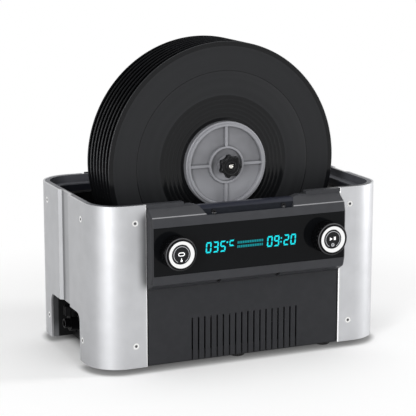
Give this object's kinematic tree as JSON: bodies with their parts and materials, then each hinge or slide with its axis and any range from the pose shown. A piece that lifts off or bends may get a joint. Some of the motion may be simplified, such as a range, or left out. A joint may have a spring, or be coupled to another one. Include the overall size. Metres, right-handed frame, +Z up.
{
  "type": "record cleaning machine",
  "caption": "Tabletop ultrasonic cleaner for vinyl records: heated tank, motor driven spindle with clamped records, front display with two lit dials, side drain.",
  "frame": {"origin": "on the table, below the centre of the body", "axes": "+Z up, +Y to the rear, +X to the right as seen from the front"},
  "size_m": [0.3854, 0.2994, 0.384],
  "materials": {
    "shell_aluminium": "satin anodised",
    "liner_plastic": "moulded",
    "inner_sheet": "zinc plated sheet",
    "foot_rubber": "moulded",
    "panel_paint": "fine textured paint",
    "housing_plastic": "satin moulded",
    "seal_rubber": "smooth",
    "tank_steel": "deep drawn stainless",
    "heater_silicone": "silicone mat",
    "transducer_metal": "turned",
    "piezo_ceramic": "fired ceramic",
    "display_glass": "black printed glass",
    "circuit_board": "solder mask",
    "control_metal": "plated",
    "dial_black": "satin black",
    "lit_ring": "opal light guide, lit",
    "button_black": "satin",
    "device_black": "moulded",
    "rocker_red": "gloss",
    "valve_plastic": "satin black plastic",
    "knob_plastic": "ribbed",
    "dock_paint": "fine textured paint",
    "screw_steel": "bright zinc",
    "head_plastic": "satin moulded",
    "motor_metal": "plated",
    "pinion_brass": "machined",
    "spindle_steel": "ground stainless",
    "gear_nylon": "moulded",
    "clamp_grey": "satin anodised grey",
    "record_vinyl": "pressed and grooved",
    "disc_black": "moulded",
    "star_black": "moulded"
  },
  "bodies": {
    "chassis": {"left_shell": "shell_aluminium", "right_shell": "shell_aluminium", "left_liner": "liner_plastic", "right_liner": "liner_plastic", "base_tray": "inner_sheet", "feet": "foot_rubber", "front_panel": "panel_paint", "front_plate": "inner_sheet", "rear_panel": "panel_paint", "tank_bezel": "housing_plastic", "tank_gasket": "seal_rubber", "tank": "tank_steel", "heater_pad": "heater_silicone", "transducers": "transducer_metal", "piezo_rings": "piezo_ceramic", "control_housing": "housing_plastic", "display_glass": "display_glass", "display_board": "circuit_board", "left_encoder": "control_metal", "right_encoder": "control_metal", "generator_board": "circuit_board", "power_supply": "circuit_board", "power_inlet": "device_black", "fan_frame": "device_black", "drain_valve": "valve_plastic", "drive_dock": "dock_paint", "shell_screws": "screw_steel", "housing_screws": "screw_steel", "tank_screws": "screw_steel"},
    "left_dial": {"left_dial": "dial_black", "left_light_ring": "lit_ring"},
    "right_dial": {"right_dial": "dial_black", "right_light_ring": "lit_ring"},
    "left_button": {"left_button": "button_black"},
    "right_button": {"right_button": "button_black"},
    "rocker": {"power_rocker": "rocker_red"},
    "fan": {"fan_rotor": "device_black"},
    "drain_knob": {"drain_knob": "knob_plastic"},
    "drive_head": {"drive_housing": "head_plastic", "drive_cover": "head_plastic", "gear_motor": "motor_metal", "head_bearings": "motor_metal"},
    "pinion": {"motor_pinion": "pinion_brass"},
    "stack": {"spindle": "spindle_steel", "spindle_gear": "gear_nylon", "rear_clamp": "clamp_grey", "record_1": "record_vinyl", "record_2": "record_vinyl", "record_3": "record_vinyl", "record_4": "record_vinyl", "record_5": "record_vinyl", "record_6": "record_vinyl", "record_7": "record_vinyl", "record_8": "record_vinyl", "label_discs": "disc_black", "front_clamp": "clamp_grey"},
    "nut_washer": {"clamp_washer": "seal_rubber"},
    "nut": {"star_knob": "star_black"}
  },
  "joints": [
    {"name": "left_dial_turn", "type": "hinge", "parent": "chassis", "child": "left_dial", "pos_m": [-0.0994, -0.14, 0.1495], "axis": [0, 1, 0], "continuous": true},
    {"name": "right_dial_turn", "type": "hinge", "parent": "chassis", "child": "right_dial", "pos_m": [0.0994, -0.14, 0.1495], "axis": [0, 1, 0], "continuous": true},
    {"name": "left_button_press", "type": "slide", "parent": "chassis", "child": "left_button", "axis": [0, 1, 0], "range_m": [0, 0.0012], "stiffness_N_per_m": 400},
    {"name": "right_button_press", "type": "slide", "parent": "chassis", "child": "right_button", "axis": [0, 1, 0], "range_m": [0, 0.0012], "stiffness_N_per_m": 400},
    {"name": "rocker_tip", "type": "hinge", "parent": "chassis", "child": "rocker", "pos_m": [-0.08, 0.1123, 0.03], "axis": [1, 0, 0], "range_deg": [0, 18]},
    {"name": "fan_turn", "type": "hinge", "parent": "chassis", "child": "fan", "pos_m": [0.07, 0.1, 0.0425], "axis": [0, 1, 0], "continuous": true},
    {"name": "drain_turn", "type": "hinge", "parent": "chassis", "child": "drain_knob", "pos_m": [-0.1785, 0.01, 0.052], "axis": [0, 0, 1], "range_deg": [0, 90]},
    {"name": "head_lift", "type": "slide", "parent": "chassis", "child": "drive_head", "axis": [0, 0, 1], "range_m": [0, 0.16]},
    {"name": "spindle_turn", "type": "hinge", "parent": "drive_head", "child": "stack", "pos_m": [0, 0, 0.233], "axis": [0, 1, 0], "continuous": true},
    {"name": "pinion_turn", "type": "hinge", "parent": "drive_head", "child": "pinion", "pos_m": [0, 0.12, 0.201], "axis": [0, 1, 0], "continuous": true},
    {"name": "nut_travel", "type": "slide", "parent": "stack", "child": "nut_washer", "axis": [0, -1, 0], "range_m": [0, 0.00801]},
    {"name": "nut_turn", "type": "hinge", "parent": "nut_washer", "child": "nut", "pos_m": [0, -0.065, 0.233], "axis": [0, -1, 0], "range_deg": [0, 2880]}
  ],
  "couplings": [
    {"joint": "pinion_turn", "follows": "spindle_turn", "ratio": -3},
    {"joint": "nut_travel", "follows": "nut_turn", "m_per_rad": 0.00015915}
  ]
}
